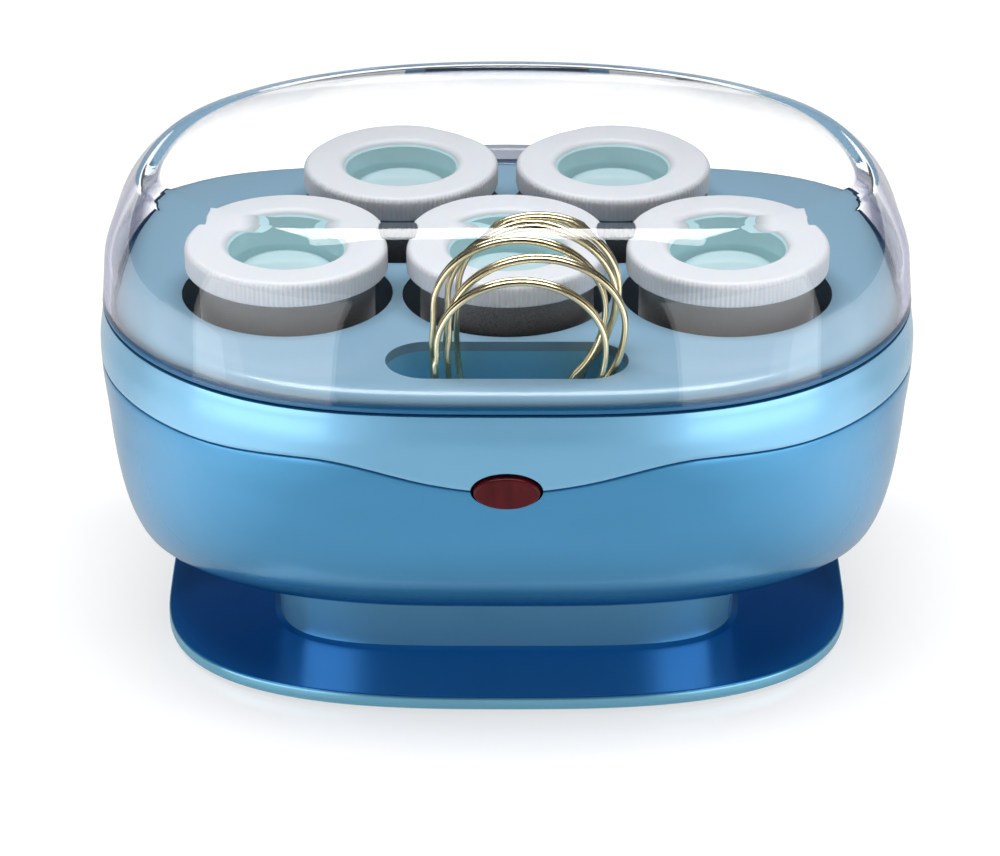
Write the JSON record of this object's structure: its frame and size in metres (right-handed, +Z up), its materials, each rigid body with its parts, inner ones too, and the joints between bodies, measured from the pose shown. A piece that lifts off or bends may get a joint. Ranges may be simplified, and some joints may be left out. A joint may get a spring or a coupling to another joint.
{
  "type": "heated hair roller set",
  "caption": "Pedestal heater bowl with a clear hinged lid, jumbo hair rollers seated on heated posts, a slot of wire clips and an oval lit rocker.",
  "frame": {"origin": "on the table, under the middle of the base", "axes": "+X to the set's right as seen from the front, +Y to the back, where the hinge is, +Z up"},
  "size_m": [0.24, 0.2307, 0.158],
  "materials": {
    "clear_plastic": "clear, polished",
    "light_blue_plastic": "pearl, glossy",
    "blue_plastic": "pearl, glossy",
    "dark_blue_plastic": "glossy",
    "deck_plastic": "satin",
    "white_plastic": "fine ribs round the edge",
    "flocking": "short flock",
    "wax_core": "moulded",
    "aluminium": "satin",
    "steel": "plain",
    "gold_wire": "polished wire",
    "red_plastic": "translucent, glossy",
    "lamp_glass": "clear glow lamp",
    "black_plastic": "moulded",
    "rubber": "matt",
    "cord_rubber": "satin",
    "element_sheath": "heat-darkened",
    "heatproof_plastic": "matt",
    "brown_plastic": "satin",
    "wire_insulation": "sleeved",
    "brass": "plain"
  },
  "bodies": {
    "base": {"hinge_pin": "steel", "upper_housing": "light_blue_plastic", "lower_housing": "blue_plastic", "roller_deck": "deck_plastic", "pedestal": "dark_blue_plastic", "base_cover": "black_plastic", "rubber_feet": "rubber", "heater_plate": "aluminium", "heating_posts": "aluminium", "post_screws": "steel", "heating_element": "element_sheath", "element_clamp": "steel", "heater_standoffs": "heatproof_plastic", "plate_screws": "steel", "thermostat": "brown_plastic", "thermal_fuse": "heatproof_plastic", "switch_body": "black_plastic", "neon_lamp": "lamp_glass", "terminal_block": "heatproof_plastic", "internal_wires": "wire_insulation", "strain_relief": "cord_rubber", "power_cord": "cord_rubber", "plug_body": "cord_rubber", "plug_blades": "brass", "cord_tie": "black_plastic", "housing_screws": "steel", "pedestal_screws": "steel", "cover_screws": "steel"},
    "lid": {"lid": "clear_plastic"},
    "rocker": {"rocker_cap": "red_plastic"},
    "front_left_roller": {"front_left_top_rim": "white_plastic", "front_left_bottom_rim": "white_plastic", "front_left_core": "wax_core", "front_left_sleeve": "flocking"},
    "front_middle_roller": {"front_middle_top_rim": "white_plastic", "front_middle_bottom_rim": "white_plastic", "front_middle_core": "wax_core", "front_middle_sleeve": "flocking"},
    "front_right_roller": {"front_right_top_rim": "white_plastic", "front_right_bottom_rim": "white_plastic", "front_right_core": "wax_core", "front_right_sleeve": "flocking"},
    "back_left_roller": {"back_left_top_rim": "white_plastic", "back_left_bottom_rim": "white_plastic", "back_left_core": "wax_core", "back_left_sleeve": "flocking"},
    "back_right_roller": {"back_right_top_rim": "white_plastic", "back_right_bottom_rim": "white_plastic", "back_right_core": "wax_core", "back_right_sleeve": "flocking"},
    "clip_1_body": {"clip_1": "gold_wire"},
    "clip_2_body": {"clip_2": "gold_wire"},
    "clip_3_body": {"clip_3": "gold_wire"},
    "clip_4_body": {"clip_4": "gold_wire"},
    "clip_5_body": {"clip_5": "gold_wire"}
  },
  "joints": [
    {"name": "lid_hinge", "type": "hinge", "parent": "base", "child": "lid", "pos_m": [0, 0.0892, 0.1082], "axis": [-1, 0, 0], "range_deg": [0, 95]},
    {"name": "rocker_pivot", "type": "hinge", "parent": "base", "child": "rocker", "pos_m": [0, -0.074, 0.0804], "axis": [-1, 0, 0], "range_deg": [0, 8]},
    {"name": "front_left_roller_lift", "type": "slide", "parent": "base", "child": "front_left_roller", "axis": [0, 0, 1], "range_m": [0, 0.018]},
    {"name": "front_middle_roller_lift", "type": "slide", "parent": "base", "child": "front_middle_roller", "axis": [0, 0, 1], "range_m": [0, 0.018]},
    {"name": "front_right_roller_lift", "type": "slide", "parent": "base", "child": "front_right_roller", "axis": [0, 0, 1], "range_m": [0, 0.018]},
    {"name": "back_left_roller_lift", "type": "slide", "parent": "base", "child": "back_left_roller", "axis": [0, 0, 1], "range_m": [0, 0.008]},
    {"name": "back_right_roller_lift", "type": "slide", "parent": "base", "child": "back_right_roller", "axis": [0, 0, 1], "range_m": [0, 0.008]},
    {"name": "clip_1_lift", "type": "slide", "parent": "base", "child": "clip_1_body", "axis": [0, 0, 1], "range_m": [0, 0.0015]},
    {"name": "clip_2_lift", "type": "slide", "parent": "base", "child": "clip_2_body", "axis": [0, 0, 1], "range_m": [0, 0.0015]},
    {"name": "clip_3_lift", "type": "slide", "parent": "base", "child": "clip_3_body", "axis": [0, 0, 1], "range_m": [0, 0.0015]},
    {"name": "clip_4_lift", "type": "slide", "parent": "base", "child": "clip_4_body", "axis": [0, 0, 1], "range_m": [0, 0.0015]},
    {"name": "clip_5_lift", "type": "slide", "parent": "base", "child": "clip_5_body", "axis": [0, 0, 1], "range_m": [0, 0.0015]}
  ]
}
